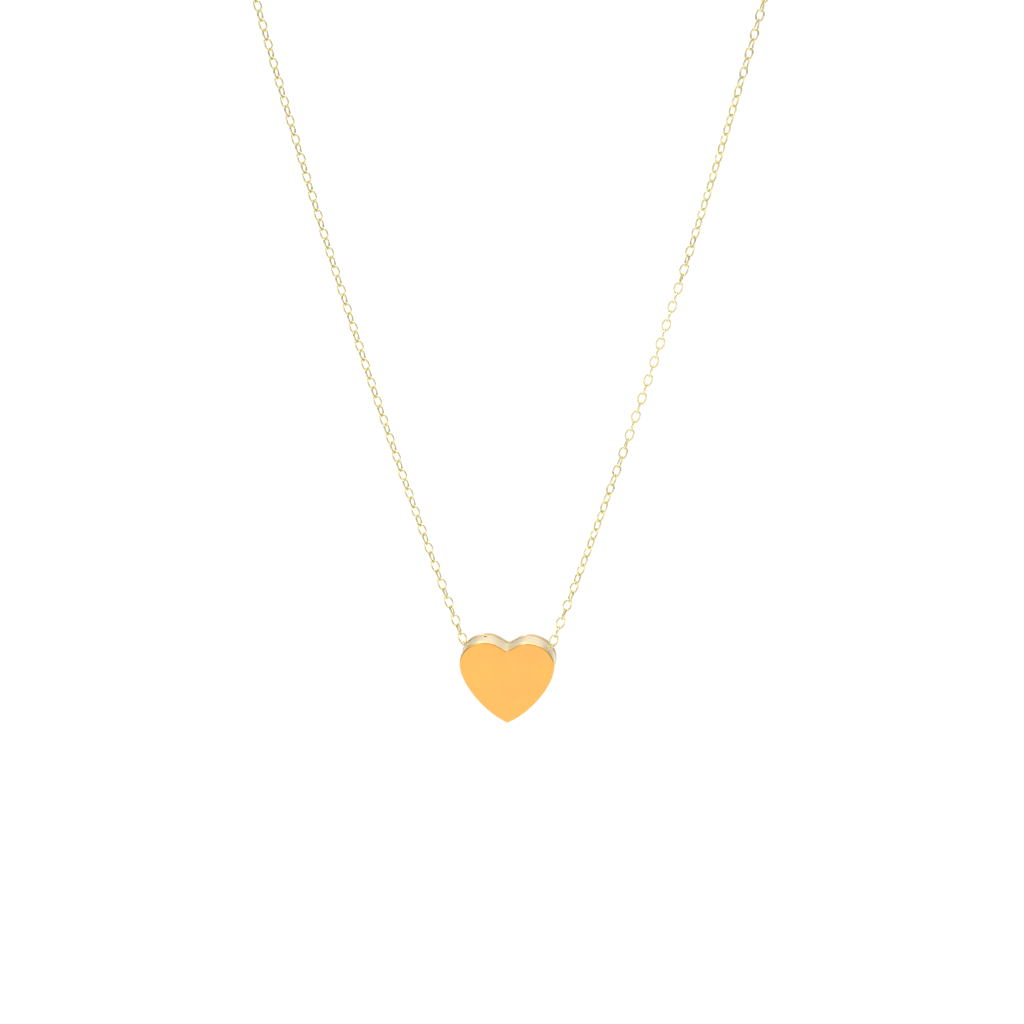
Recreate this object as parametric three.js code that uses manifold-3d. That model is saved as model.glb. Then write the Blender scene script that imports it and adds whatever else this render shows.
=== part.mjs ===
// A hollow heart pendant on a fine cable chain, hanging as it does from a neck, with a spring-ring clasp.
// Millimetres, +Z up, +X to the right as seen from the front, and the heart's face towards -Y. The origin
// is in the middle of the neck loop, level with the place where the chain's front legs start to hang free.

import * as THREE from 'three';
import Module from 'manifold-3d';
import { mergeVertices } from 'three/addons/utils/BufferGeometryUtils.js';

// Heart pendant
const HEART_WIDTH = 12.0;
const HEART_HEIGHT = 10.8; // from the tip to the top of the lobes
const NOTCH_DEPTH = 1.1; // below the top of the lobes
const HEART_DEPTH = 3.5; // from the front face to the back face
const FRONT_PLATE = 0.6;
const BACK_PLATE = 0.35;
const SIDE_WALL = 0.5;
const FRONT_EDGE = 0.18; // radius of the front plate's rounded edge
const VENT_WIDTH = 0.4; // the hole that lets air out while the heart is soldered
const VENT_X = -2.9;
const VENT_DEPTH = 2.3; // behind the front face
const SEAT_GAP = 0.02; // between pieces that are soldered together
const OUTLINE_STEPS = 24; // on each half of the outline

// Loops on the heart's shoulders, which the chain's first links hook
const LOOP_HEIGHT = 9.65; // of their feet, above the heart's tip
const LOOP_DEPTH = 1.9; // of their middle, behind the front face
const LOOP_REACH = 0.5; // from the side wall to the inside of the bend
const LOOP_WIRE = 0.3;
const LOOP_WIDTH = 0.5; // between the feet

// Chain
const LINK_LENGTH = 1.73; // outside
const LINK_WIDTH = 1.2; // outside
const LINK_WIRE = 0.23;
const LINK_SLACK = 0.02; // between two links that pull on each other
const LINK_PITCH = LINK_LENGTH - 2 * LINK_WIRE - LINK_SLACK;
const LINK_TURN = -21; // degrees about the chain, of every second link; the others stand square to them
const SINGLE_LINKS = 3; // separate links above each loop
const LEG_HEIGHT = 113; // of the front legs that hang free
const LEG_SLOPE = 0.375; // outwards per millimetre of height, at the pendant
const LEG_STEEPENING = 75; // the larger it is, the straighter the legs
const BANDS = 5; // of each leg, which swing one after the other
const NECK_DEPTH = 88; // from the front legs back to the nape
const NAPE_RISE = 38; // of the nape above the top of the front legs
const SHOULDER_PULL = 48; // how far the chain keeps its direction at the top of the legs
const NAPE_PULL = 56; // and at the clasp
const NECK_STRETCHES = 6; // on each side
const STRETCH_GAP = 0.35; // between two stretches of chain
const STRETCH_STEP = 4; // length of the straight parts that a stretch is made of

// Spring-ring clasp
const RING_RADIUS = 2.3; // to the middle of its tube
const TUBE_RADIUS = 0.6;
const TUBE_WALL = 0.13;
const MOUTH = [-40, -95]; // degrees, of the ring's opening, from +X towards +Z
const LATCH = [-34, -124]; // the bolt that closes the opening
const LATCH_RADIUS = 0.38;
const LATCH_TRAVEL = 45; // degrees
const KNOB_AT = -112;
const KNOB_RADIUS = 0.36;
const STEM_RADIUS = 0.14;
const SLOT_WIDTH = 0.4;
const SLOT_DEPTH = 0.48; // into the tube, from its outermost line
const SPRING_END = -232; // where the spring's far end rests on its stop
const SPRING_WIRE = 0.1;
const SPRING_TURNS = 13;
const STOP_SWEEP = 8; // degrees
const EYE_RADIUS = 0.55; // to the middle of its wire
const EYE_WIRE = 0.4;
const JUMP_RING_RADIUS = 0.9;
const JUMP_RING_WIRE = 0.4;
const CATCH_RING_RADIUS = 1.25;
const CATCH_RING_WIRE = 0.5;
const RUNNING_GAP = 0.03; // between pieces that slide or pull on each other

const wasm = await Module();
wasm.setup();

const UP = new THREE.Vector3(0, 0, 1);
const BACK = new THREE.Vector3(0, 1, 0);
const ROSE = { color: 0xf2b765, roughness: 0.3, metalness: 1 };
const CREAM = { color: 0xefdfae, roughness: 0.2, metalness: 1 };
const CHAIN = { color: 0xe4d08a, roughness: 0.18, metalness: 1 };
const STEEL = { color: 0xc9ccd0, roughness: 0.3, metalness: 1 };

class FormulaCurve extends THREE.Curve {
  constructor(formula) {
    super();
    this.formula = formula;
  }

  getPoint(t, target = new THREE.Vector3()) {
    return target.copy(this.formula(t));
  }
}

function piece(parent, name, geometry, look) {
  const mesh = new THREE.Mesh(geometry, new THREE.MeshStandardMaterial(look));
  mesh.name = name;
  parent.add(mesh);
  return mesh;
}

function radians(degrees) {
  return THREE.MathUtils.degToRad(degrees);
}

// Solids

function disc(radius, sides) {
  const points = [];
  for (let i = 0; i < sides; i += 1) {
    const angle = (2 * Math.PI * i) / sides;
    points.push(new THREE.Vector2(radius * Math.cos(angle), radius * Math.sin(angle)));
  }
  return new THREE.Shape(points);
}

function along(curve, section, steps) {
  return new THREE.ExtrudeGeometry(section, { extrudePath: curve, steps, bevelEnabled: false });
}

function toSolid(geometry) {
  const bare = geometry.clone();
  bare.deleteAttribute('normal');
  bare.deleteAttribute('uv');
  const merged = mergeVertices(bare, 1e-5);
  const mesh = new wasm.Mesh({
    numProp: 3,
    vertProperties: new Float32Array(merged.attributes.position.array),
    triVerts: new Uint32Array(merged.index.array),
  });
  return new wasm.Manifold(mesh);
}

function toGeometry(solid) {
  const mesh = solid.getMesh();
  const geometry = new THREE.BufferGeometry();
  geometry.setAttribute('position', new THREE.BufferAttribute(mesh.vertProperties, 3));
  geometry.setIndex(new THREE.BufferAttribute(mesh.triVerts, 1));
  return geometry;
}

function cut(geometry, tool) {
  return toGeometry(toSolid(geometry).subtract(toSolid(tool)));
}

// The centre of mass of several solids of one metal.
function centreOfMass(geometries) {
  const moment = new THREE.Vector3();
  let volume = 0;
  for (const geometry of geometries) {
    const corners = geometry.index ? geometry.toNonIndexed() : geometry;
    const position = corners.attributes.position;
    for (let i = 0; i < position.count; i += 3) {
      const [a, b, c] = [0, 1, 2].map((k) => new THREE.Vector3().fromBufferAttribute(position, i + k));
      const share = a.dot(b.clone().cross(c)) / 6;
      moment.addScaledVector(a.add(b).add(c), share / 4);
      volume += share;
    }
  }
  return moment.divideScalar(volume);
}

// Heart. Its own frame has X across, Y back from the front face and Z up from the tip.

// The right half of the outline from the notch to the tip, as x and height.
function heartHalf() {
  const half = HEART_WIDTH / 2;
  const top = HEART_HEIGHT;
  const notch = top - NOTCH_DEPTH;
  const path = new THREE.Path();
  path.moveTo(0, notch);
  path.bezierCurveTo(0.13 * half, notch + 0.28 * NOTCH_DEPTH, 0.25 * half, top, 0.44 * half, top);
  path.bezierCurveTo(0.73 * half, top, half, 0.88 * top, half, 0.72 * top);
  path.bezierCurveTo(half, 0.46 * top, 0.43 * half, 0.1 * top, 0, 0);
  return path.getSpacedPoints(OUTLINE_STEPS);
}

// The same half, moved inwards. It starts and ends on the heart's middle line.
function insetHalf(distance) {
  const half = heartHalf();
  const start = new THREE.Vector2(0, half[0].y - distance);
  const inner = [start];
  for (let i = 1; i < half.length; i += 1) {
    const before = half[i - 1];
    const after = half[Math.min(i + 1, half.length - 1)];
    const forward = after.clone().sub(before).normalize();
    inner.push(new THREE.Vector2(half[i].x + forward.y * distance, half[i].y - forward.x * distance));
  }
  const crossing = inner.findIndex((point, i) => i > 0 && point.x <= 0);
  if (crossing > 0) {
    const [last, next] = [inner[crossing - 1], inner[crossing]];
    const share = last.x / (last.x - next.x);
    inner.splice(crossing, inner.length, last.clone().lerp(next, share));
  }
  return new THREE.Path(inner).getSpacedPoints(OUTLINE_STEPS);
}

// Both halves, anticlockwise as seen from the front.
function heartOutline(distance) {
  const half = distance > 0 ? insetHalf(distance) : heartHalf();
  const left = half.map((point) => new THREE.Vector2(-point.x, point.y));
  const right = half.slice(1, -1).reverse();
  return [...left, ...right];
}

// A closed solid through outlines that have the same number of points, from front to back.
function loft(outlines, depths) {
  const count = outlines[0].length;
  const positions = outlines.flatMap((outline, k) => (
    outline.flatMap((point) => [point.x, depths[k], point.y])
  ));
  const cap = THREE.ShapeUtils.triangulateShape(outlines[0], []);
  const last = (outlines.length - 1) * count;
  const index = cap.flat();
  for (const [a, b, c] of THREE.ShapeUtils.triangulateShape(outlines.at(-1), [])) {
    index.push(last + a, last + c, last + b);
  }
  for (let k = 0; k < last; k += count) {
    for (let i = 0; i < count; i += 1) {
      const next = (i + 1) % count;
      index.push(k + i, k + count + i, k + next);
      index.push(k + count + i, k + count + next, k + next);
    }
  }
  const geometry = new THREE.BufferGeometry();
  geometry.setAttribute('position', new THREE.Float32BufferAttribute(positions, 3));
  geometry.setIndex(index);
  return geometry;
}

function frontPlate() {
  const steps = 3;
  const outlines = [];
  const depths = [];
  for (let i = 0; i <= steps; i += 1) {
    const angle = (0.5 * Math.PI * i) / steps;
    outlines.push(heartOutline(FRONT_EDGE * (1 - Math.sin(angle))));
    depths.push(FRONT_EDGE * (1 - Math.cos(angle)));
  }
  outlines.push(heartOutline(0));
  depths.push(FRONT_PLATE);
  return loft(outlines, depths);
}

function backPlate() {
  return loft([heartOutline(0), heartOutline(0)], [HEART_DEPTH - BACK_PLATE, HEART_DEPTH]);
}

function sideWall() {
  const shape = new THREE.Shape(heartOutline(0));
  shape.holes.push(new THREE.Path(heartOutline(SIDE_WALL)));
  const depth = HEART_DEPTH - FRONT_PLATE - BACK_PLATE - 2 * SEAT_GAP;
  const wall = new THREE.ExtrudeGeometry(shape, { depth, bevelEnabled: false });
  wall.rotateX(Math.PI / 2);
  wall.translate(0, FRONT_PLATE + SEAT_GAP + depth, 0);
  const drill = new THREE.CylinderGeometry(VENT_WIDTH / 2, VENT_WIDTH / 2, HEART_HEIGHT / 2, 12);
  drill.rotateX(Math.PI / 2);
  drill.translate(VENT_X, VENT_DEPTH, HEART_HEIGHT);
  return cut(wall, drill);
}

// Where the right loop stands on the side wall, and the direction straight out of the wall there.
function shoulder() {
  const half = heartHalf();
  const below = half.findIndex((point, i) => i > OUTLINE_STEPS / 4 && point.y < LOOP_HEIGHT);
  const [high, low] = [half[below - 1], half[below]];
  const share = (high.y - LOOP_HEIGHT) / (high.y - low.y);
  const foot = new THREE.Vector3(high.x + share * (low.x - high.x), LOOP_DEPTH, LOOP_HEIGHT);
  const out = new THREE.Vector3(high.y - low.y, 0, low.x - high.x).normalize();
  return [foot, out];
}

const [loopFoot, loopOut] = shoulder();

// Where the first link pulls on the right loop
const hook = loopFoot.clone().addScaledVector(loopOut, LOOP_REACH - RUNNING_GAP);

// A U of wire that stands on the side wall and opens towards it.
function shoulderLoop(side) {
  const bend = (LOOP_WIDTH + LOOP_WIRE) / 2;
  const legTop = LOOP_REACH + LOOP_WIRE / 2 - bend;
  const quarter = 0.5 * Math.PI * bend;
  const halfWire = quarter + legTop - SEAT_GAP;
  const route = new FormulaCurve((t) => {
    const fromTop = halfWire * Math.abs(2 * t - 1);
    const angle = Math.min(fromTop, quarter) / bend;
    const out = legTop + bend * Math.cos(angle) - Math.max(fromTop - quarter, 0);
    const back = Math.sign(2 * t - 1) * bend * Math.sin(angle);
    const point = loopFoot.clone().addScaledVector(loopOut, out).addScaledVector(BACK, back);
    point.x *= side;
    return point;
  });
  return along(route, disc(LOOP_WIRE / 2, 8), 14);
}

function heart() {
  const group = new THREE.Group();
  const plates = [
    piece(group, 'heart_front_plate', frontPlate(), ROSE),
    piece(group, 'heart_side_wall', sideWall(), CREAM),
    piece(group, 'heart_back_plate', backPlate(), CREAM),
    piece(group, 'heart_loop_left', shoulderLoop(-1), CREAM),
    piece(group, 'heart_loop_right', shoulderLoop(1), CREAM),
  ];
  const pivot = new THREE.Vector3(0, hook.y, hook.z);
  const arm = centreOfMass(plates.map((plate) => plate.geometry)).sub(pivot);
  for (const plate of plates) {
    plate.position.copy(pivot).negate();
  }
  group.rotation.x = Math.atan(arm.y / arm.z); // its centre of mass hangs straight below the loops
  return group;
}

// Chain. Heights are above the loops, where the first links pull.

function leg() {
  return new FormulaCurve((t) => {
    const height = LEG_HEIGHT * t;
    const x = hook.x + LEG_STEEPENING * Math.log(1 + (LEG_SLOPE * height) / LEG_STEEPENING);
    return new THREE.Vector3(x, 0, height);
  });
}

// From the top of the right leg round the neck to the clasp's end link.
function neckSide(claspReach) {
  const top = leg().getPoint(1);
  const rising = leg().getTangent(1);
  const nape = new THREE.Vector3(claspReach, NECK_DEPTH, LEG_HEIGHT + NAPE_RISE);
  return new THREE.CubicBezierCurve3(
    top,
    top.clone().addScaledVector(rising, SHOULDER_PULL),
    nape.clone().add(new THREE.Vector3(NAPE_PULL, 0, 0)),
    nape,
  );
}

// The length of wire in one link, which is an ellipse.
function linkPerimeter() {
  const a = (LINK_LENGTH - LINK_WIRE) / 2;
  const b = (LINK_WIDTH - LINK_WIRE) / 2;
  return Math.PI * (1.5 * (a + b) - Math.sqrt(a * b));
}

// Two crossed strips, as wide as the links and with the links' weight of metal.
function chainSection() {
  const area = (linkPerimeter() * Math.PI * (LINK_WIRE / 2) ** 2) / LINK_PITCH;
  const reach = LINK_WIDTH / 2;
  const half = area / (4 * LINK_WIDTH); // of a strip's thickness
  const points = [];
  for (let quarter = 0; quarter < 4; quarter += 1) {
    for (const [x, y] of [[reach, -half], [reach, half], [half, half]]) {
      points.push(new THREE.Vector2(x, y).rotateAround(new THREE.Vector2(), (quarter * Math.PI) / 2));
    }
  }
  return new THREE.Shape(points);
}

function stretch(parent, name, curve, side, from, to) {
  const length = curve.getLength();
  const route = new FormulaCurve((t) => {
    const point = curve.getPointAt((from + (to - from) * t) / length);
    point.x *= side;
    return point;
  });
  const steps = Math.max(2, Math.round((to - from) / STRETCH_STEP));
  piece(parent, name, along(route, chainSection(), steps), CHAIN);
}

function oval(length, width, wire, steps, sides) {
  const route = new FormulaCurve((t) => {
    const angle = 2 * Math.PI * t;
    return new THREE.Vector3(
      0.5 * (width - wire) * Math.sin(angle),
      0,
      0.5 * (length - wire) * Math.cos(angle),
    );
  });
  return new THREE.TubeGeometry(route, steps, wire / 2, sides, true);
}

// A link with its long axis along a direction, turned about that axis.
function link(parent, name, centre, direction, turn) {
  const mesh = piece(parent, name, oval(LINK_LENGTH, LINK_WIDTH, LINK_WIRE, 16, 6), CHAIN);
  mesh.quaternion.setFromUnitVectors(UP, direction);
  mesh.rotateZ(radians(turn));
  mesh.position.copy(centre);
}

function hangingLegs(group) {
  const curve = leg();
  const length = curve.getLength();
  const band = length / BANDS;
  const singles = SINGLE_LINKS * LINK_PITCH + LINK_WIRE;
  for (const [label, side] of [['left', -1], ['right', 1]]) {
    for (let i = 0; i < SINGLE_LINKS; i += 1) {
      const at = ((i + 0.5) * LINK_PITCH) / length;
      const [centre, direction] = [curve.getPointAt(at), curve.getTangentAt(at)];
      centre.x *= side;
      direction.x *= side;
      link(group, `link_${label}_${i + 1}`, centre, direction, LINK_TURN + 90 * (i % 2));
    }
    for (let i = 0; i < BANDS; i += 1) {
      const start = i * band + STRETCH_GAP / 2 + (i === 0 ? singles : 0);
      stretch(group, `chain_${label}_${i + 1}`, curve, side, start, (i + 1) * band - STRETCH_GAP / 2);
    }
  }
}

function neckChain(group, claspReach) {
  const curve = neckSide(claspReach);
  const length = curve.getLength() - LINK_WIRE - STRETCH_GAP;
  for (const [label, side] of [['left', -1], ['right', 1]]) {
    for (let i = 0; i < NECK_STRETCHES; i += 1) {
      const [start, end] = [i, i + 1].map((k) => (k * length) / NECK_STRETCHES);
      const name = `chain_${label}_${BANDS + i + 1}`;
      stretch(group, name, curve, side, start + STRETCH_GAP / 2, end - STRETCH_GAP / 2);
    }
  }
}

// Clasp. Its ring lies across the nape, and the chain pulls on it along X.

function arc(radius, from, to) {
  return new FormulaCurve((t) => {
    const angle = radians(from + (to - from) * t);
    return new THREE.Vector3(radius * Math.cos(angle), 0, radius * Math.sin(angle));
  });
}

function ringTube() {
  const section = disc(TUBE_RADIUS, 12);
  section.holes.push(new THREE.Path(disc(TUBE_RADIUS - TUBE_WALL, 12).getPoints()));
  const tube = along(arc(RING_RADIUS, MOUTH[1], MOUTH[0] - 360), section, 32);
  const halfSlot = THREE.MathUtils.radToDeg((STEM_RADIUS + RUNNING_GAP) / RING_RADIUS);
  const cutter = new THREE.Shape([
    new THREE.Vector2(-SLOT_DEPTH, -SLOT_WIDTH / 2),
    new THREE.Vector2(SLOT_DEPTH, -SLOT_WIDTH / 2),
    new THREE.Vector2(SLOT_DEPTH, SLOT_WIDTH / 2),
    new THREE.Vector2(-SLOT_DEPTH, SLOT_WIDTH / 2),
  ]);
  const slotRoute = arc(RING_RADIUS + TUBE_RADIUS, KNOB_AT + halfSlot, KNOB_AT - LATCH_TRAVEL - halfSlot);
  return cut(tube, along(slotRoute, cutter, 10));
}

function knob() {
  const stemFoot = LATCH_RADIUS + RUNNING_GAP;
  const stemTop = TUBE_RADIUS + RUNNING_GAP;
  const profile = [
    new THREE.Vector2(0, stemFoot),
    new THREE.Vector2(STEM_RADIUS, stemFoot),
    new THREE.Vector2(STEM_RADIUS, stemTop),
  ];
  const steps = 5;
  for (let i = 1; i <= steps; i += 1) {
    const angle = Math.PI * (i / steps);
    const radius = Math.max(KNOB_RADIUS * Math.sin(angle), 0);
    profile.push(new THREE.Vector2(i === steps ? 0 : radius, stemTop + KNOB_RADIUS * (1 - Math.cos(angle))));
  }
  const geometry = new THREE.LatheGeometry(profile, 10);
  geometry.translate(0, RING_RADIUS, 0);
  geometry.rotateX(Math.PI / 2);
  geometry.rotateY(radians(90 - KNOB_AT));
  return geometry;
}

function spring() {
  const inside = TUBE_RADIUS - TUBE_WALL - SPRING_WIRE / 2 - RUNNING_GAP;
  const margin = THREE.MathUtils.radToDeg((SPRING_WIRE / 2 + RUNNING_GAP) / RING_RADIUS);
  const route = new FormulaCurve((t) => {
    const turn = 2 * Math.PI * SPRING_TURNS * t;
    const angle = radians(LATCH[1] - margin + (SPRING_END - LATCH[1] + 2 * margin) * t);
    const radius = RING_RADIUS + inside * Math.cos(turn);
    return new THREE.Vector3(radius * Math.cos(angle), inside * Math.sin(turn), radius * Math.sin(angle));
  });
  return along(route, disc(SPRING_WIRE / 2, 4), 8 * SPRING_TURNS);
}

function roundRing(radius, wire, flat) {
  const geometry = new THREE.TorusGeometry(radius, wire / 2, 8, 20);
  if (!flat) {
    geometry.rotateX(Math.PI / 2);
  }
  return geometry;
}

// Distances along X from the middle of the ring to what pulls on it, on each side.
const eyeAt = RING_RADIUS + TUBE_RADIUS + SEAT_GAP + EYE_RADIUS + EYE_WIRE / 2;
const jumpRingAt = eyeAt + EYE_RADIUS - (EYE_WIRE + JUMP_RING_WIRE) / 2 - RUNNING_GAP + JUMP_RING_RADIUS;
const catchRingAt = RING_RADIUS - TUBE_RADIUS - CATCH_RING_WIRE / 2 - RUNNING_GAP + CATCH_RING_RADIUS;
const linkHook = (LINK_LENGTH - LINK_WIRE) / 2 - LINK_WIRE / 2 - RUNNING_GAP;
const leftLinkAt = jumpRingAt + JUMP_RING_RADIUS - JUMP_RING_WIRE / 2 + linkHook;
const rightLinkAt = catchRingAt + CATCH_RING_RADIUS - CATCH_RING_WIRE / 2 + linkHook;
const claspReach = (leftLinkAt + rightLinkAt + LINK_PITCH) / 2;
const claspShift = (leftLinkAt - rightLinkAt) / 2;

function clasp(group) {
  const nape = new THREE.Group();
  nape.position.set(claspShift, NECK_DEPTH, LEG_HEIGHT + NAPE_RISE);
  group.add(nape);
  piece(nape, 'clasp_ring_tube', ringTube(), CHAIN);
  piece(nape, 'clasp_eye', roundRing(EYE_RADIUS, EYE_WIRE, false), CHAIN).position.x = -eyeAt;
  piece(nape, 'clasp_latch', along(arc(RING_RADIUS, ...LATCH), disc(LATCH_RADIUS, 8), 10), CHAIN);
  piece(nape, 'clasp_thumb_knob', knob(), CHAIN);
  piece(nape, 'clasp_spring', spring(), STEEL);
  const stopEnd = SPRING_END - STOP_SWEEP;
  const stopRadius = TUBE_RADIUS - TUBE_WALL - RUNNING_GAP;
  const stop = along(arc(RING_RADIUS, SPRING_END, stopEnd), disc(stopRadius, 8), 2);
  piece(nape, 'clasp_spring_stop', stop, CHAIN);
  const jumpRing = roundRing(JUMP_RING_RADIUS, JUMP_RING_WIRE, true);
  piece(nape, 'clasp_jump_ring', jumpRing, CHAIN).position.x = -jumpRingAt;
  const catchRing = roundRing(CATCH_RING_RADIUS, CATCH_RING_WIRE, true);
  piece(nape, 'clasp_catch_ring', catchRing, CHAIN).position.x = catchRingAt;
  link(nape, 'end_link_left', new THREE.Vector3(-leftLinkAt, 0, 0), new THREE.Vector3(-1, 0, 0), 0);
  link(nape, 'end_link_right', new THREE.Vector3(rightLinkAt, 0, 0), new THREE.Vector3(1, 0, 0), 0);
}

const necklace = new THREE.Group();
necklace.position.set(0, -NECK_DEPTH / 2, -LEG_HEIGHT);
necklace.add(heart());
hangingLegs(necklace);
neckChain(necklace, claspReach);
clasp(necklace);

export default necklace;
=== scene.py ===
"""Looks of the heart pendant necklace: each link of its chain, the hollow heart and the spring-ring clasp.

Shapes are worked out in millimetres, from the same formulas as the CAD model, and become metres in
object_of().
"""

import math

import bpy
import numpy as np
from mathutils import Matrix, Vector


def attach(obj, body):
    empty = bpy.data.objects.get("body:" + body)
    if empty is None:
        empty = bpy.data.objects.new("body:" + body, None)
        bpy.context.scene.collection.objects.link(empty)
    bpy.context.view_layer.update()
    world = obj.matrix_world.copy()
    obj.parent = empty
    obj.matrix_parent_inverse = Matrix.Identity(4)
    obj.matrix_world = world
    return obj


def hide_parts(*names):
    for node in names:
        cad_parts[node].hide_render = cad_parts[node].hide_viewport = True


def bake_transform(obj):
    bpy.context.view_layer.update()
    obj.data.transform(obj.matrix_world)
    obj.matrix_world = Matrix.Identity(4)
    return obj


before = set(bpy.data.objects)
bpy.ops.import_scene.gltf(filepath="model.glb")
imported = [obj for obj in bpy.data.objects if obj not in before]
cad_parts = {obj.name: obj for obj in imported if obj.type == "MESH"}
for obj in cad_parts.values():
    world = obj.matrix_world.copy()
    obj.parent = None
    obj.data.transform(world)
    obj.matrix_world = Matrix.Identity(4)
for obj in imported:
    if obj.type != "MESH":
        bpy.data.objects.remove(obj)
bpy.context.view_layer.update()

MM = 0.001

# Heart. Its own frame has X across, Y back from the front face and Z up from the tip.
HEART_WIDTH = 12.0
HEART_HEIGHT = 10.8
NOTCH_DEPTH = 1.1
HEART_DEPTH = 3.5
FRONT_PLATE = 0.6
BACK_PLATE = 0.35
SIDE_WALL = 0.5
REAR_FALL = 0.12  # how far the wall curves inwards at the back
WALL_STEPS = 10
FRONT_EDGE = 0.2  # radius of the front plate's rounded edge
EDGE_STEPS = 8
PAINTED_REFLECTION_STEPS = 6  # steps of the rounded edge that have the face's colour, gold with a painted warm reflection
SEAM = 0.05  # width and depth of the groove on each side of a soldered seam
SEAT_GAP = 0.02
OUTLINE_STEPS = 110  # on each half of the outline
BEND_STEPS = 40  # steps in each bezier before it is spaced evenly
VENT_RADIUS = 0.2
VENT_X = -2.9
VENT_DEPTH = 2.3
VENT_SIDES = 24
HEART_TILT = math.radians(4.9657)  # about X, as it hangs
HEART_PIVOT = np.array([0, 1.9, 9.9824])

# Loops on the heart's shoulders
LOOP_HEIGHT = 9.65
LOOP_REACH = 0.5
LOOP_WIRE = 0.3
LOOP_WIDTH = 0.5
LOOP_ROOT = 0.12  # how far the feet go into the side wall
SOLDER_FLARE = 0.45  # how much wider a foot is where it is soldered
SOLDER_HEIGHT = 0.3  # of the widened part
LOOP_FOOT_POINTS = 6
LOOP_BEND_POINTS = 17
LOOP_SIDES = 16

# Chain. Its own frame has its origin between the heart's loops.
CHAIN_ORIGIN = np.array([0, -44, -113])
HOOK_X = 5.5714
LINK_LENGTH = 1.73
LINK_WIDTH = 1.2
LINK_WIRE = 0.23
LINK_PITCH = 1.25
LINK_STEPS = 32
LINK_SIDES = 8
LEG_HEIGHT = 113
LEG_SLOPE = 0.375
LEG_STEEPENING = 75
BANDS = 5
BAND_LINKS = 19
NECK_DEPTH = 88
NAPE_RISE = 38
SHOULDER_PULL = 48
NAPE_PULL = 56
NECK_STRETCHES = 6
SINGLE_LINKS = 3
CURVE_STEPS = 600
# How far every second link is turned about the chain: millimetres along the leg, and degrees
LEG_TWIST = {
    "left": ([0, 6, 16, 120], [-5, -8, -21, -21]),
    "right": ([0, 4, 9, 20, 29, 48, 57, 74, 90, 120], [2, 10, 38, 50, 84, 92, 128, 140, 172, 180]),
}

# Clasp. Its own frame has its origin in the middle of the ring, and angles go from +X towards +Z.
CLASP_CENTRE = np.array([0.86, 44, 38])
CLASP_REACH = 5.76
RING_RADIUS = 2.3
RING_STEPS = 96
TUBE_RADIUS = 0.6
TUBE_WALL = 0.13
TUBE_SIDES = 32
MOUTH = (-40, -95)
LATCH = (-34, -124)
LATCH_RADIUS = 0.38
LATCH_TRAVEL = 45
LATCH_STEPS = 40
LATCH_SIDES = 24
KNOB_AT = -112
KNOB_RADIUS = 0.36
KNOB_POINTS = 15
STEM_RADIUS = 0.14
STEM_FOOT = 0.9  # where the stem starts, as a share of the latch's radius
SLOT_WIDTH = 0.4
SLOT_DEPTH = 0.48  # into the tube, from its outermost line
SLOT_POINTS = 25
SPRING_END = -232
SPRING_WIRE = 0.1
SPRING_TURNS = 13
SPRING_TURN_STEPS = 24
SPRING_SIDES = 8
STOP_SWEEP = 8
STOP_STEPS = 8
EYE_AT, EYE_RADIUS, EYE_WIRE = -3.67, 0.55, 0.4
JUMP_RING_AT, JUMP_RING_RADIUS, JUMP_RING_WIRE = -4.69, 0.9, 0.4
CATCH_RING_AT, CATCH_RING_RADIUS, CATCH_RING_WIRE = 2.67, 1.25, 0.5
WIRE_RING_STEPS = 64
WIRE_RING_SIDES = 20
RUNNING_GAP = 0.03

# Camera and stage, in metres
LOOK_AT = Vector((0.0005, -0.044, -0.0958))
CAMERA_AZIMUTH = math.radians(5.6)
CAMERA_ELEVATION = math.radians(14.9)
CAMERA_DISTANCE = 0.95
VIEW_WIDTH = 0.1284  # at the heart
SENSOR_WIDTH = 36
FLOOR_HEIGHT = -0.2
FLOOR_RADIUS = 4
FLOOR_SIDES = 64
FLOOR_COLOUR = (0.97, 0.97, 0.97, 1)
FLOOR_ROUGHNESS = 0.9
WORLD_STRENGTH = 0.73
# The place, the size and the radiance of each
SOFTBOXES = {
    "overhead": ((0, 0.4, 1.4), 1.4, 1.3),
    "back": ((0, 1.09, 1.04), 1.5, 0.4),
    "key": ((-0.5, -0.7, 0.9), 0.3, 6),
}
FLAG_REACH = 0.5
FLAG_DEPTHS = (-0.33, 0.25)
FLAG_HEIGHTS = (-0.19, 0.25)
FLAG_COLOUR = (0.2, 0.18, 0.13, 1)
FLAG_ROUGHNESS = 0.5

# Surface noises, in features per metre
DRIFT_SCALE = 260
WAVE_SCALE = 420
SMUDGE_SCALE = 900
HAIRLINE_SCALE = 9000
HAIRLINE_STRETCH = (1, 1, 0.08)
NOISE_RANGE = (0.3, 0.7)  # in which nearly all of a noise lies


# Materials


def noise(tree, scale, detail, stretch=(1, 1, 1)):
    """A noise over the surface. scale is features per metre."""
    nodes, links = tree.nodes, tree.links
    where = nodes.new("ShaderNodeTexCoord")
    mapping = nodes.new("ShaderNodeMapping")
    mapping.inputs["Scale"].default_value = stretch
    texture = nodes.new("ShaderNodeTexNoise")
    texture.inputs["Scale"].default_value = scale
    texture.inputs["Detail"].default_value = detail
    links.new(where.outputs["Object"], mapping.inputs["Vector"])
    links.new(mapping.outputs["Vector"], texture.inputs["Vector"])
    return texture.outputs["Fac"]


def mapped(tree, value, low, high):
    """A noise, spread over the range from low to high."""
    node = tree.nodes.new("ShaderNodeMapRange")
    node.inputs["From Min"].default_value = NOISE_RANGE[0]
    node.inputs["From Max"].default_value = NOISE_RANGE[1]
    node.inputs["To Min"].default_value = low
    node.inputs["To Max"].default_value = high
    tree.links.new(value, node.inputs["Value"])
    return node.outputs["Result"]


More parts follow.
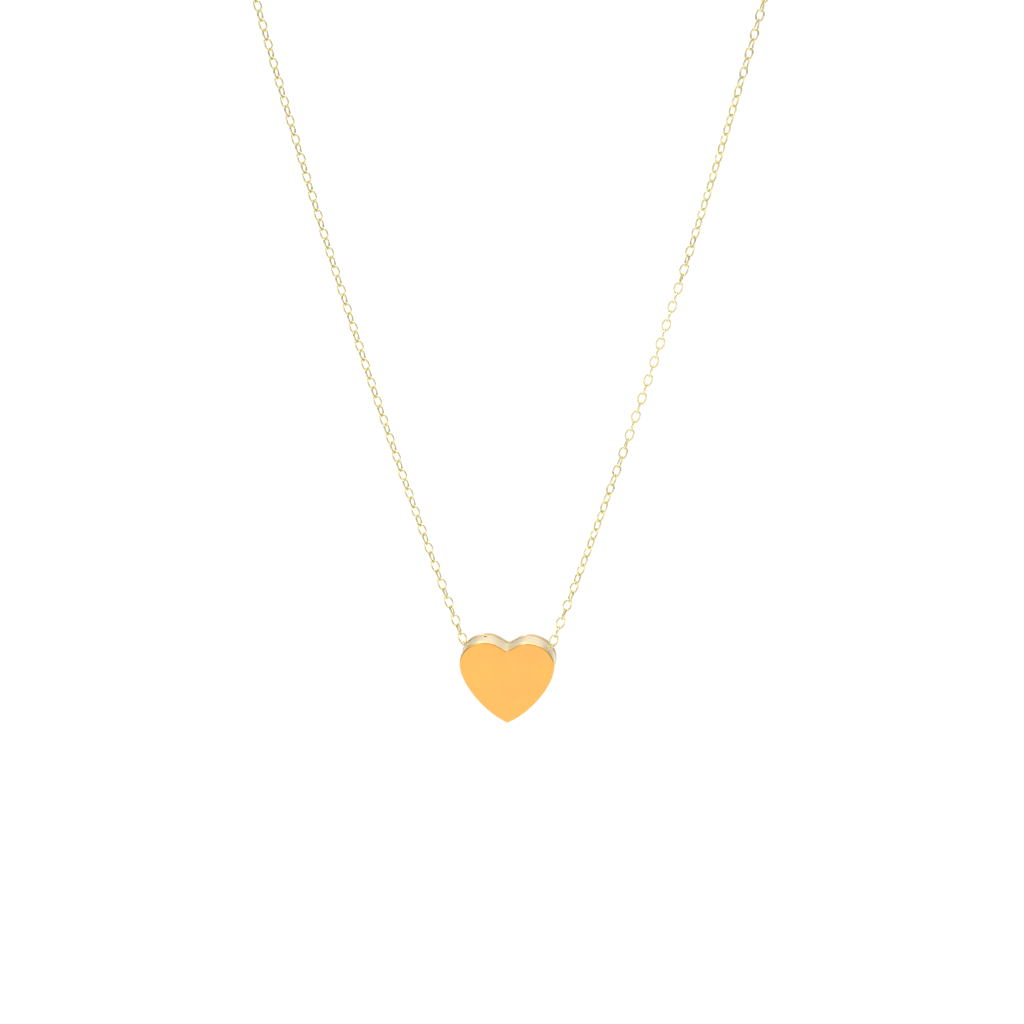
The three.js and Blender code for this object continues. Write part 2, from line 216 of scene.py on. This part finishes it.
def bump(tree, height, distance):
    node = tree.nodes.new("ShaderNodeBump")
    node.inputs["Strength"].default_value = 1
    node.inputs["Distance"].default_value = distance
    tree.links.new(height, node.inputs["Height"])
    return node


def metal(name, colour, drift, gloss, waves, hairlines):
    """A polished metal. Its colour drifts from colour to drift over a few millimetres, and its roughness
    between the two numbers of gloss. waves is the height in metres of the waviness that hand polishing
    leaves, and hairlines that of its fine scratches."""
    material = bpy.data.materials.new(name)
    material.use_nodes = True
    tree = material.node_tree
    shader = tree.nodes["Principled BSDF"]
    shader.inputs["Metallic"].default_value = 1
    mix = tree.nodes.new("ShaderNodeMix")
    mix.data_type = "RGBA"
    mix.inputs["A"].default_value = (*colour, 1)
    mix.inputs["B"].default_value = (*drift, 1)
    clouds = noise(tree, DRIFT_SCALE, detail=2)
    tree.links.new(mapped(tree, clouds, 0, 1), mix.inputs["Factor"])
    tree.links.new(mix.outputs["Result"], shader.inputs["Base Color"])
    smudges = noise(tree, SMUDGE_SCALE, detail=6)
    tree.links.new(mapped(tree, smudges, *gloss), shader.inputs["Roughness"])
    wavy = bump(tree, noise(tree, WAVE_SCALE, detail=1), waves)
    scratches = noise(tree, HAIRLINE_SCALE, detail=4, stretch=HAIRLINE_STRETCH)
    scratched = bump(tree, scratches, hairlines)
    tree.links.new(wavy.outputs["Normal"], scratched.inputs["Normal"])
    tree.links.new(scratched.outputs["Normal"], shader.inputs["Normal"])
    return material


# Name, colour, what it drifts to, roughness, and the heights of the waviness and the hairlines
# The face is gold with a warm reflection painted into its colour and drift: the orange stands in for light,
# not for an alloy of its own.
FACE = metal("gold_with_painted_warm_reflection", (1.0, 0.505, 0.135), (1.0, 0.55, 0.13), (0.2, 0.28), 4e-6, 3e-7)
WALL = metal("pale_gold", (0.87, 0.74, 0.47), (0.88, 0.755, 0.52), (0.28, 0.36), 3e-6, 3e-7)
CHAIN = metal("yellow_gold", (0.89, 0.82, 0.46), (0.92, 0.81, 0.42), (0.1, 0.2), 2e-6, 2e-7)
CLASP = metal("clasp_gold", (0.89, 0.83, 0.50), (0.91, 0.81, 0.45), (0.1, 0.22), 3e-6, 3e-7)
STEEL = metal("spring_steel", (0.60, 0.62, 0.65), (0.52, 0.53, 0.56), (0.2, 0.34), 1e-6, 4e-7)
SHARP = math.radians(32)  # edges with a larger angle than this aren't shaded smooth


# Meshes. A shape is (vertices, faces).


def object_of(name, shape):
    vertices, faces = shape
    mesh = bpy.data.meshes.new(name)
    mesh.from_pydata((np.asarray(vertices, float) * MM).tolist(), [], faces)
    obj = bpy.data.objects.new(name, mesh)
    bpy.context.scene.collection.objects.link(obj)
    return obj


def piece(name, shape, material, body, nodes, hole=None):
    """A piece that rides on body and stands for nodes. hole is a shape that is cut out of it."""
    obj = object_of(name, shape)
    if hole:
        cut(obj, hole)
    obj.data.materials.append(material)
    obj.data.shade_smooth()
    obj.data.set_sharp_from_angle(angle=SHARP)
    if body:
        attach(obj, body)
    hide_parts(*nodes)
    return obj


def cut(obj, hole):
    tool = object_of("tool", hole)
    modifier = obj.modifiers.new("cut", "BOOLEAN")
    modifier.operation = "DIFFERENCE"
    modifier.solver = "EXACT"
    modifier.object = tool
    shaped = obj.evaluated_get(bpy.context.evaluated_depsgraph_get())
    mesh = bpy.data.meshes.new_from_object(shaped)
    obj.modifiers.clear()
    obj.data = mesh
    bpy.data.objects.remove(tool)


def joined(shapes):
    vertices, faces, first = [], [], 0
    for points, sides in shapes:
        vertices.extend(points)
        faces.extend([[first + i for i in side] for side in sides])
        first += len(points)
    return vertices, faces


def points_of(rings):
    return [point for ring in rings for point in ring]


def skin(sections, closed=False):
    """Faces between sections, which are rings with the same number of points."""
    count = len(sections[0])
    faces = []
    for k in range(len(sections) if closed else len(sections) - 1):
        here, there = k * count, (k + 1) % len(sections) * count
        for i in range(count):
            j = (i + 1) % count
            faces.append([here + i, here + j, there + j, there + i])
    return faces


def tube(path, radius, sides, closed=False):
    """A round wire along path. radius is one number, or one for each point."""
    path = np.asarray(path, float)
    radii = np.broadcast_to(radius, len(path))
    if closed:
        ahead = np.roll(path, -1, 0) - np.roll(path, 1, 0)
    else:
        ahead = np.gradient(path, axis=0)
    ahead /= np.linalg.norm(ahead, axis=1)[:, None]
    normal = np.eye(3)[np.argmin(abs(ahead[0]))]
    turns = np.linspace(0, 2 * math.pi, sides, endpoint=False)
    rings = []
    for point, direction, size in zip(path, ahead, radii):
        normal = normal - direction * normal.dot(direction)
        normal /= np.linalg.norm(normal)
        across = np.cross(direction, normal)
        rings.append([point + size * (math.cos(t) * normal + math.sin(t) * across) for t in turns])
    faces = skin(rings, closed)
    if not closed:
        last = (len(rings) - 1) * sides
        faces.append(list(range(sides))[::-1])
        faces.append([last + i for i in range(sides)])
    return points_of(rings), faces


def resample(points, count):
    """count + 1 points at even distances along a line of many points."""
    points = np.asarray(points, float)
    steps = np.linalg.norm(np.diff(points, axis=0), axis=1)
    reached = np.concatenate([[0], np.cumsum(steps)])
    wanted = np.linspace(0, reached[-1], count + 1)
    return np.column_stack([np.interp(wanted, reached, axis) for axis in points.T])


def bezier(corners, count):
    a, b, c, d = np.asarray(corners, float)
    t = np.linspace(0, 1, count + 1)[:, None]
    return a * (1 - t) ** 3 + 3 * b * t * (1 - t) ** 2 + 3 * c * t**2 * (1 - t) + d * t**3


# Heart


def heart_half():
    """The right half of the outline from the notch to the tip, as x and height."""
    half, top = HEART_WIDTH / 2, HEART_HEIGHT
    notch = top - NOTCH_DEPTH
    rising = (0.13 * half, notch + 0.28 * NOTCH_DEPTH)
    bends = [
        [(0, notch), rising, (0.25 * half, top), (0.44 * half, top)],
        [(0.44 * half, top), (0.73 * half, top), (half, 0.88 * top), (half, 0.72 * top)],
        [(half, 0.72 * top), (half, 0.46 * top), (0.43 * half, 0.1 * top), (0, 0)],
    ]
    points = np.concatenate([bezier(bend, BEND_STEPS)[:-1] for bend in bends] + [[[0, 0]]])
    return resample(points, OUTLINE_STEPS)


def heart_outline(inset):
    """Both halves as x and height, moved inwards. It starts at the notch and goes down the left side."""
    outer = heart_half()
    ahead = np.gradient(outer, axis=0)
    ahead /= np.linalg.norm(ahead, axis=1)[:, None]
    half = outer + inset * np.column_stack([ahead[:, 1], -ahead[:, 0]])
    half[0] = (0, outer[0][1] - inset)
    beyond = np.nonzero(half[1:, 0] <= 0)[0]
    if len(beyond):
        end = beyond[0] + 1
        last, after = half[end - 1], half[end]
        crossing = last + (after - last) * last[0] / (last[0] - after[0])
        half = np.vstack([half[:end], crossing])
    half = resample(half, OUTLINE_STEPS)
    return np.vstack([half * (-1, 1), half[-2:0:-1]])


def heart_frame(points):
    """Points in the heart's own frame, moved to the model's frame as the heart hangs."""
    turn = np.array(Matrix.Rotation(HEART_TILT, 3, "X"))
    return (np.asarray(points) - HEART_PIVOT) @ turn.T + CHAIN_ORIGIN


def ring_at(inset, depth):
    return [(x, depth, z) for x, z in heart_outline(inset)]


def plate(profile):
    """A solid plate from a profile of (inset, depth), from front to back."""
    rings = [ring_at(inset, depth) for inset, depth in profile]
    count, last = len(rings[0]), len(rings) - 1
    faces = skin(rings)
    faces.append(list(range(count))[::-1])
    faces.append([last * count + i for i in range(count)])
    return heart_frame(points_of(rings)), faces


def front_plate():
    profile = []
    for i in range(EDGE_STEPS + 1):
        angle = 0.5 * math.pi * i / EDGE_STEPS
        profile.append((FRONT_EDGE * (1 - math.sin(angle)), FRONT_EDGE * (1 - math.cos(angle))))
    profile += [(0, FRONT_PLATE - SEAM), (SEAM, FRONT_PLATE)]
    return plate(profile)


def back_plate():
    front, back = HEART_DEPTH - BACK_PLATE, HEART_DEPTH
    rounding = SEAM / 3  # how far the middle of the rear edge stands in
    profile = [(SEAM, front), (0, front + SEAM)]
    profile += [(0, back - SEAM), (rounding, back - rounding), (SEAM, back)]
    return plate(profile)


def side_wall():
    front = FRONT_PLATE + SEAT_GAP
    back = HEART_DEPTH - BACK_PLATE - SEAT_GAP
    profile = [(SEAM, front)]
    for depth in np.linspace(front + SEAM, back - SEAM, WALL_STEPS + 1):
        profile.append((REAR_FALL * ((depth - front - SEAM) / (back - front)) ** 2, depth))
    profile += [(REAR_FALL + SEAM, back), (SIDE_WALL, back), (SIDE_WALL, front)]
    rings = [ring_at(inset, depth) for inset, depth in profile]
    return heart_frame(points_of(rings)), skin(rings, closed=True)


def vent_drill():
    path = [(VENT_X, VENT_DEPTH, HEART_HEIGHT / 2), (VENT_X, VENT_DEPTH, HEART_HEIGHT * 1.5)]
    vertices, faces = tube(path, VENT_RADIUS, VENT_SIDES)
    return heart_frame(vertices), faces


def shoulder_loop(side):
    """A U of wire that stands on the side wall, with a fillet of solder at its feet."""
    half = heart_half()
    first = OUTLINE_STEPS // 4
    below = first + int(np.argmax(half[first:, 1] < LOOP_HEIGHT))
    high, low = half[below - 1], half[below]
    foot = np.array([low[0], HEART_PIVOT[1], low[1]])
    out = np.array([high[1] - low[1], 0, low[0] - high[0]])
    out /= np.linalg.norm(out)
    bend = (LOOP_WIDTH + LOOP_WIRE) / 2
    straight = LOOP_REACH + LOOP_WIRE / 2 - bend
    turns = np.linspace(0, math.pi, LOOP_BEND_POINTS)[1:-1]
    route = [(d, -bend) for d in np.linspace(-LOOP_ROOT, straight, LOOP_FOOT_POINTS)]
    route += [(straight + bend * math.sin(a), -bend * math.cos(a)) for a in turns]
    route += [(d, bend) for d in np.linspace(straight, -LOOP_ROOT, LOOP_FOOT_POINTS)]
    path = [foot + out * along + np.array([0, across, 0]) for along, across in route]
    radii = []
    for along, _ in route:
        solder = max(0, 1 - (along + LOOP_ROOT) / SOLDER_HEIGHT) ** 2
        radii.append(LOOP_WIRE / 2 * (1 + SOLDER_FLARE * solder))
    vertices, faces = tube(path, radii, LOOP_SIDES)
    vertices = np.array(vertices) * (side, 1, 1)
    if side < 0:
        faces = [face[::-1] for face in faces]
    return heart_frame(vertices), faces


def make_heart():
    face = piece("heart_face", front_plate(), FACE, "heart", ["heart_front_plate"])
    face.data.materials.append(WALL)
    # The flat face and its first rounded steps carry the painted warm reflection; the outer steps and the
    # plate's side get the wall's gold.
    painted_reflection_faces = 2 * OUTLINE_STEPS * PAINTED_REFLECTION_STEPS
    for polygon in face.data.polygons:
        if polygon.index >= painted_reflection_faces and len(polygon.vertices) == 4:
            polygon.material_index = 1
    piece("heart_wall", side_wall(), WALL, "heart", ["heart_side_wall"], vent_drill())
    piece("heart_back", back_plate(), WALL, "heart", ["heart_back_plate"])
    for label, side in (("left", -1), ("right", 1)):
        piece(f"shoulder_loop_{label}", shoulder_loop(side), WALL, "heart", [f"heart_loop_{label}"])


# Chain


def leg_path():
    heights = np.linspace(0, LEG_HEIGHT, CURVE_STEPS)
    xs = HOOK_X + LEG_STEEPENING * np.log(1 + LEG_SLOPE * heights / LEG_STEEPENING)
    return np.column_stack([xs, np.zeros(CURVE_STEPS), heights])


def neck_path():
    """From the top of the right leg round the neck to the clasp's end link."""
    leg = leg_path()
    rising = leg[-1] - leg[-2]
    rising /= np.linalg.norm(rising)
    nape = np.array([CLASP_REACH, NECK_DEPTH, LEG_HEIGHT + NAPE_RISE])
    corners = [leg[-1], leg[-1] + SHOULDER_PULL * rising, nape + (NAPE_PULL, 0, 0), nape]
    return bezier(corners, CURVE_STEPS)


def chain_joints(side):
    """Where each link pulls on the next, from the heart to the clasp."""
    leg = resample(leg_path(), BANDS * BAND_LINKS)
    neck = neck_path()
    length = np.linalg.norm(np.diff(neck, axis=0), axis=1).sum()
    neck = resample(neck, round(length / LINK_PITCH))
    end = neck[-1] - (LINK_PITCH, 0, 0)
    return (np.vstack([leg, neck[1:], end]) * (side, 1, 1)) + CHAIN_ORIGIN


def oval():
    """A link with its long axis along Z, square to Y."""
    angles = np.linspace(0, 2 * math.pi, LINK_STEPS, endpoint=False)
    reach, width = (LINK_LENGTH - LINK_WIRE) / 2, (LINK_WIDTH - LINK_WIRE) / 2
    path = [(width * math.sin(a), 0, reach * math.cos(a)) for a in angles]
    return tube(path, LINK_WIRE / 2, LINK_SIDES, closed=True)


def link_axes(joints):
    """The direction of each link, and a normal that is carried along the chain without turning."""
    directions = np.diff(joints, axis=0)
    directions /= np.linalg.norm(directions, axis=1)[:, None]
    normal = np.array([0.0, 1.0, 0.0])
    normals = []
    for direction in directions:
        normal = normal - direction * normal.dot(direction)
        normal /= np.linalg.norm(normal)
        normals.append(normal)
    return directions, np.array(normals)


def link_turns(label, directions, normals):
    """How far each link is turned about its direction, so that the last one stands upright at the clasp."""
    leg_count = BANDS * BAND_LINKS
    count = len(directions)
    turns = np.radians(np.interp(np.arange(leg_count + 1) * LINK_PITCH, *LEG_TWIST[label]))
    across = np.cross(directions[-1], normals[-1])
    upright = math.atan2(across[1], normals[-1][1])
    upright -= math.pi / 2 * ((count - 1) % 2)
    half_turns = round((turns[-1] - upright) / math.pi)
    target = upright + math.pi * half_turns
    rest = np.linspace(turns[-1], target, count - leg_count)
    return np.concatenate([turns[:-1], rest]) + math.pi / 2 * (np.arange(count) % 2)


def make_links(label, side):
    """The placed links of one side, from the heart to the clasp."""
    joints = chain_joints(side)
    directions, normals = link_axes(joints)
    turns = link_turns(label, directions, normals)
    vertices, faces = oval()
    vertices = np.array(vertices)
    links = []
    for i, (direction, normal, turn) in enumerate(zip(directions, normals, turns)):
        turned = math.cos(turn) * normal + math.sin(turn) * np.cross(direction, normal)
        axes = np.array([np.cross(turned, direction), turned, direction])
        links.append((vertices @ axes + (joints[i] + joints[i + 1]) / 2, faces))
    return links


def make_chain():
    for label, side in (("left", -1), ("right", 1)):
        links = make_links(label, side)
        for band in range(BANDS):
            nodes = [f"chain_{label}_{band + 1}"]
            if band == 0:
                nodes += [f"link_{label}_{i + 1}" for i in range(SINGLE_LINKS)]
            shapes = links[band * BAND_LINKS : (band + 1) * BAND_LINKS]
            piece(f"links_{label}_{band + 1}", joined(shapes), CHAIN, f"band_{band + 1}", nodes)
        neck = links[BANDS * BAND_LINKS :]
        for i in range(NECK_STRETCHES):
            first, last = (round(k * len(neck) / NECK_STRETCHES) for k in (i, i + 1))
            number = BANDS + i + 1
            nodes = [f"chain_{label}_{number}"]
            if i == NECK_STRETCHES - 1:
                nodes.append(f"end_link_{label}")
            piece(f"links_{label}_{number}", joined(neck[first:last]), CHAIN, "neck_chain", nodes)


# Clasp


def clasp_arc(radius, start, end, steps):
    angles = np.radians(np.linspace(start, end, steps + 1))
    level = np.zeros(steps + 1)
    return CLASP_CENTRE + np.column_stack([radius * np.cos(angles), level, radius * np.sin(angles)])


def hollow_tube(path, outside, inside, sides):
    """An open tube with a wall. outside and inside are radii."""
    outer, inner = tube(path, outside, sides), tube(path, inside, sides)
    count, last = len(outer[0]), len(outer[0]) - sides
    vertices = [*outer[0], *inner[0]]
    faces = outer[1][:-2] + [[count + i for i in face[::-1]] for face in inner[1][:-2]]
    for i in range(sides):
        j = (i + 1) % sides
        faces.append([i, count + i, count + j, j])
        faces.append([last + j, count + last + j, count + last + i, last + i])
    return vertices, faces


def ring_slot():
    """The slot along the outside of the ring, in which the knob's stem slides."""
    margin = math.degrees((STEM_RADIUS + RUNNING_GAP) / RING_RADIUS)
    angles = np.radians(np.linspace(KNOB_AT + margin, KNOB_AT - LATCH_TRAVEL - margin, SLOT_POINTS))
    outermost = RING_RADIUS + TUBE_RADIUS
    low, high = outermost - SLOT_DEPTH, outermost + SLOT_DEPTH
    rings = []
    for angle in angles:
        ray = np.array([math.cos(angle), 0, math.sin(angle)])
        corners = [(low, -1), (high, -1), (high, 1), (low, 1)]
        rings.append([CLASP_CENTRE + ray * r + np.array([0, s * SLOT_WIDTH / 2, 0]) for r, s in corners])
    last = 4 * (len(rings) - 1)
    faces = skin(rings) + [[3, 2, 1, 0], [last, last + 1, last + 2, last + 3]]
    return points_of(rings), faces


def ring(at, radius, wire, flat):
    """A closed ring of round wire at a distance along X from the middle of the clasp. It lies level if it
    is flat, and else in the clasp's plane."""
    angles = np.linspace(0, 2 * math.pi, WIRE_RING_STEPS, endpoint=False)
    if flat:
        path = [(at + radius * math.cos(a), radius * math.sin(a), 0) for a in angles]
    else:
        path = [(at + radius * math.cos(a), 0, radius * math.sin(a)) for a in angles]
    return tube(np.array(path) + CLASP_CENTRE, wire / 2, WIRE_RING_SIDES, closed=True)


def knob():
    """A stem with a round bead, pointing out of the ring."""
    foot, top = LATCH_RADIUS * STEM_FOOT, TUBE_RADIUS + RUNNING_GAP
    profile = [(STEM_RADIUS, foot), (STEM_RADIUS, top)]
    bead = np.linspace(0, math.pi, KNOB_POINTS)[2:-1]  # from where it is wider than the stem
    for angle in bead:
        profile.append((KNOB_RADIUS * math.sin(angle), top + KNOB_RADIUS * (1 - math.cos(angle))))
    ray = np.array([math.cos(math.radians(KNOB_AT)), 0, math.sin(math.radians(KNOB_AT))])
    path = [CLASP_CENTRE + ray * (RING_RADIUS + out) for _, out in profile]
    return tube(path, [radius for radius, _ in profile], LATCH_SIDES)


def spring():
    coil = TUBE_RADIUS - TUBE_WALL - SPRING_WIRE / 2 - RUNNING_GAP
    path = []
    for t in np.linspace(0, 1, SPRING_TURN_STEPS * SPRING_TURNS + 1):
        turn = 2 * math.pi * SPRING_TURNS * t
        angle = math.radians(LATCH[1] + (SPRING_END - LATCH[1]) * t)
        radius = RING_RADIUS + coil * math.cos(turn)
        place = (radius * math.cos(angle), coil * math.sin(turn), radius * math.sin(angle))
        path.append(CLASP_CENTRE + place)
    return tube(path, SPRING_WIRE / 2, SPRING_SIDES)


def make_clasp():
    tube_path = clasp_arc(RING_RADIUS, MOUTH[1], MOUTH[0] - 360, RING_STEPS)
    shell = hollow_tube(tube_path, TUBE_RADIUS, TUBE_RADIUS - TUBE_WALL, TUBE_SIDES)
    piece("ring_tube", shell, CLASP, "clasp", ["clasp_ring_tube"], ring_slot())
    piece("ring_eye", ring(EYE_AT, EYE_RADIUS, EYE_WIRE, False), CLASP, "clasp", ["clasp_eye"])
    stop_path = clasp_arc(RING_RADIUS, SPRING_END, SPRING_END - STOP_SWEEP, STOP_STEPS)
    stop = tube(stop_path, TUBE_RADIUS - TUBE_WALL - RUNNING_GAP, LATCH_SIDES)
    piece("spring_stop", stop, CLASP, "clasp", ["clasp_spring_stop"])
    bolt = tube(clasp_arc(RING_RADIUS, *LATCH, LATCH_STEPS), LATCH_RADIUS, LATCH_SIDES)
    piece("latch_bolt", bolt, CLASP, "latch", ["clasp_latch"])
    piece("thumb_knob", knob(), CLASP, "latch", ["clasp_thumb_knob"])
    jump = ring(JUMP_RING_AT, JUMP_RING_RADIUS, JUMP_RING_WIRE, True)
    piece("jump_ring", jump, CLASP, "neck_chain", ["clasp_jump_ring"])
    catch = ring(CATCH_RING_AT, CATCH_RING_RADIUS, CATCH_RING_WIRE, True)
    piece("catch_ring", catch, CLASP, "neck_chain", ["clasp_catch_ring"])
    coil = piece("latch_spring", spring(), STEEL, None, ["clasp_spring"])
    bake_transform(coil)


# Stage


def flat_piece(name, corners, colour, roughness):
    """One polygon of plain material, in metres."""
    mesh = bpy.data.meshes.new(name)
    mesh.from_pydata(corners, [], [list(range(len(corners)))])
    obj = bpy.data.objects.new(name, mesh)
    bpy.context.scene.collection.objects.link(obj)
    material = bpy.data.materials.new(name)
    material.use_nodes = True
    shader = material.node_tree.nodes["Principled BSDF"]
    shader.inputs["Base Color"].default_value = colour
    shader.inputs["Roughness"].default_value = roughness
    mesh.materials.append(material)
    return obj


def make_floor():
    angles = np.linspace(0, 2 * math.pi, FLOOR_SIDES, endpoint=False)
    corners = [(FLOOR_RADIUS * math.cos(a), FLOOR_RADIUS * math.sin(a), FLOOR_HEIGHT) for a in angles]
    floor = flat_piece("floor", corners, FLOOR_COLOUR, FLOOR_ROUGHNESS)


def softbox(name, place, size, radiance):
    """A square area light that faces the heart."""
    data = bpy.data.lights.new(name, "AREA")
    data.size = size
    data.energy = radiance * math.pi * size**2
    light = bpy.data.objects.new(name, data)
    light.location = place
    light.rotation_mode = "QUATERNION"
    light.rotation_quaternion = (LOOK_AT - Vector(place)).to_track_quat("-Z", "Y")
    bpy.context.scene.collection.objects.link(light)


def flag(name, side):
    """A dark card beside the necklace, which only reflections see. It gives polished edges dark lines."""
    x, (front, back), (low, high) = side * FLAG_REACH, FLAG_DEPTHS, FLAG_HEIGHTS
    corners = [(x, front, low), (x, back, low), (x, back, high), (x, front, high)]
    card = flat_piece(name, corners, FLAG_COLOUR, FLAG_ROUGHNESS)
    card.visible_camera = False
    card.visible_diffuse = False
    card.visible_shadow = False


def make_light():
    world = bpy.data.worlds.new("studio")
    world.use_nodes = True
    background = world.node_tree.nodes["Background"]
    background.inputs["Color"].default_value = (1, 1, 1, 1)
    background.inputs["Strength"].default_value = WORLD_STRENGTH
    bpy.context.scene.world = world
    for name, (place, size, radiance) in SOFTBOXES.items():
        softbox(name, place, size, radiance)
    flag("flag_left", -1)
    flag("flag_right", 1)


def make_camera():
    camera = bpy.data.objects.new("camera", bpy.data.cameras.new("camera"))
    level = math.cos(CAMERA_ELEVATION)
    x, y = math.sin(CAMERA_AZIMUTH) * level, -math.cos(CAMERA_AZIMUTH) * level
    back = Vector((x, y, math.sin(CAMERA_ELEVATION)))
    camera.location = LOOK_AT + back * CAMERA_DISTANCE
    camera.rotation_mode = "QUATERNION"
    camera.rotation_quaternion = (-back).to_track_quat("-Z", "Y")
    camera.data.sensor_width = SENSOR_WIDTH
    camera.data.lens = SENSOR_WIDTH * CAMERA_DISTANCE / VIEW_WIDTH
    bpy.context.scene.collection.objects.link(camera)
    bpy.context.scene.camera = camera


make_heart()
make_chain()
make_clasp()
make_floor()
make_light()
make_camera()
bpy.context.scene.view_settings.view_transform = "Standard"

bpy.context.view_layer.update()
